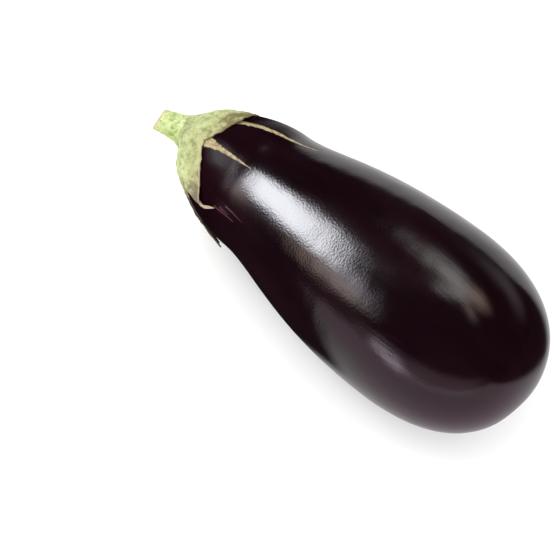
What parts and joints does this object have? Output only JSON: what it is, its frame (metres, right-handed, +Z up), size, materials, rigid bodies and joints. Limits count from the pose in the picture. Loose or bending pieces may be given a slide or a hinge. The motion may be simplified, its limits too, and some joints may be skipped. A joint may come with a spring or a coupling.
{
  "type": "eggplant",
  "caption": "Glossy dark purple eggplant with a ragged green calyx and a short cut stem, lying on its side on a small flat spot.",
  "frame": {"origin": "middle of the bounding box's underside, at the level of the flat spot it lies on", "axes": "+Z up, +X towards the blossom end, the stem towards -X"},
  "size_m": [0.2292, 0.092, 0.0942],
  "materials": {
    "skin": "waxy, glossy, near-black purple",
    "calyx": "matte grey-green with dry tan edges",
    "stem": "matte pale yellow-green, dry tan cut end"
  },
  "bodies": {
    "root": {"fruit": "skin", "calyx": "calyx", "stem": "stem"}
  },
  "joints": []
}
